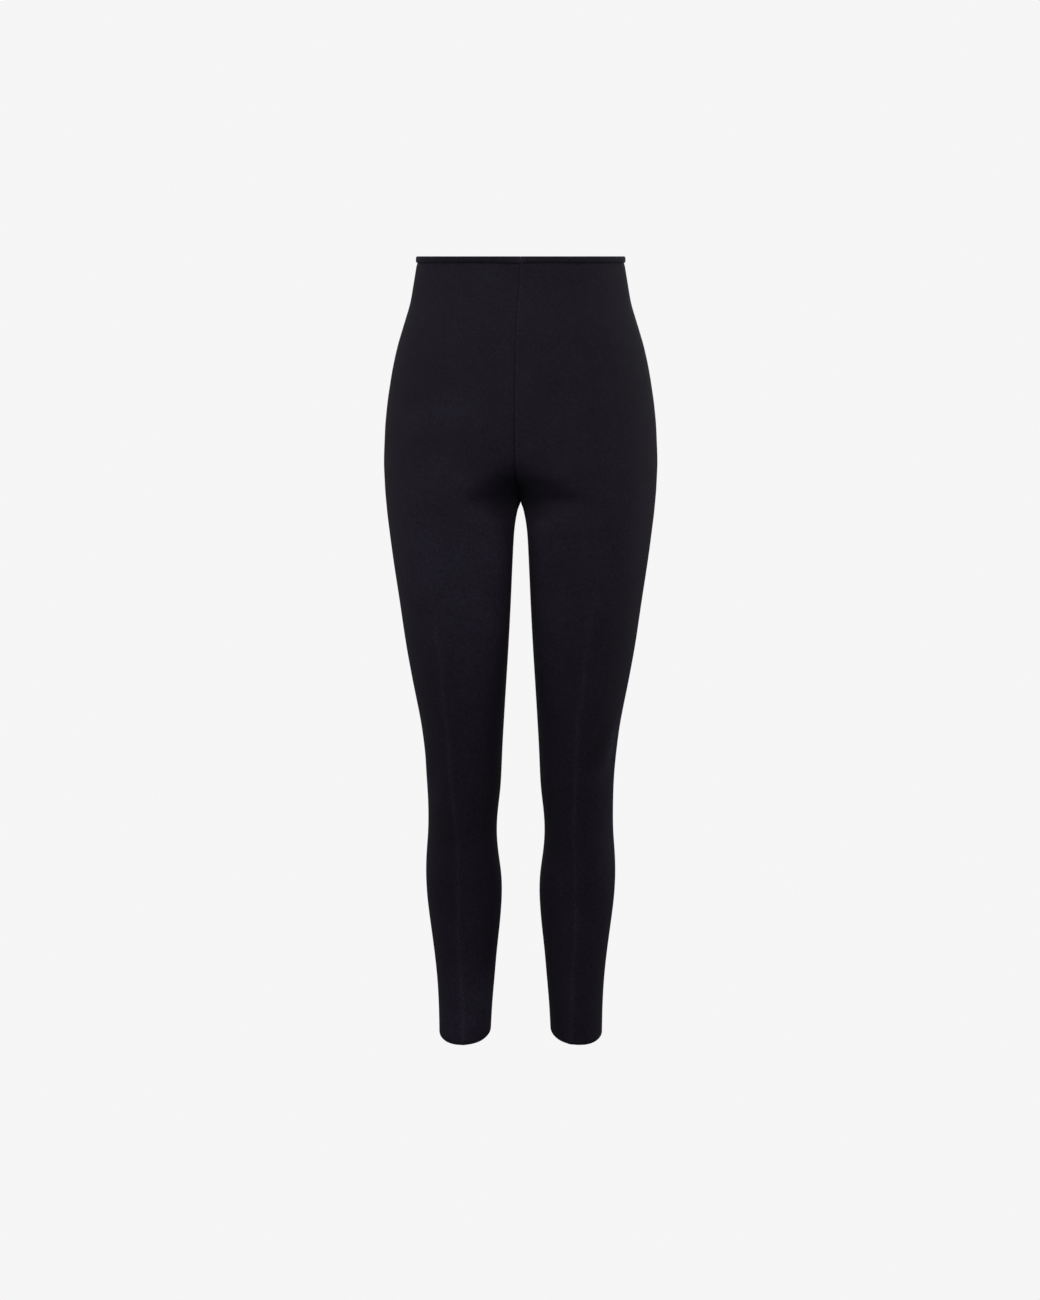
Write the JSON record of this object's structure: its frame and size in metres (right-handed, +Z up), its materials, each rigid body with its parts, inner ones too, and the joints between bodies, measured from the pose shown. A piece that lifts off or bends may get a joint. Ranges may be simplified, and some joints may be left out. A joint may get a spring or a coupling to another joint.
{
  "type": "leggings",
  "caption": "High-waisted full-length leggings in matt black stretch jersey with a narrow elastic waist, filled out as worn with no wearer.",
  "frame": {"origin": "middle of the waist opening, level with the top edge", "axes": "+Z up along the legs' length towards the waist, +Y towards the back, +X towards the wearer's left; the front faces -Y"},
  "size_m": [0.3497, 0.2286, 1.0338],
  "materials": {
    "leg_jersey": "matt fine stretch jersey",
    "casing_jersey": "matt fine stretch jersey drawn over elastic"
  },
  "bodies": {
    "root": {"right_leg_panel": "leg_jersey", "left_leg_panel": "leg_jersey", "right_waist_casing": "casing_jersey", "left_waist_casing": "casing_jersey"}
  },
  "joints": []
}
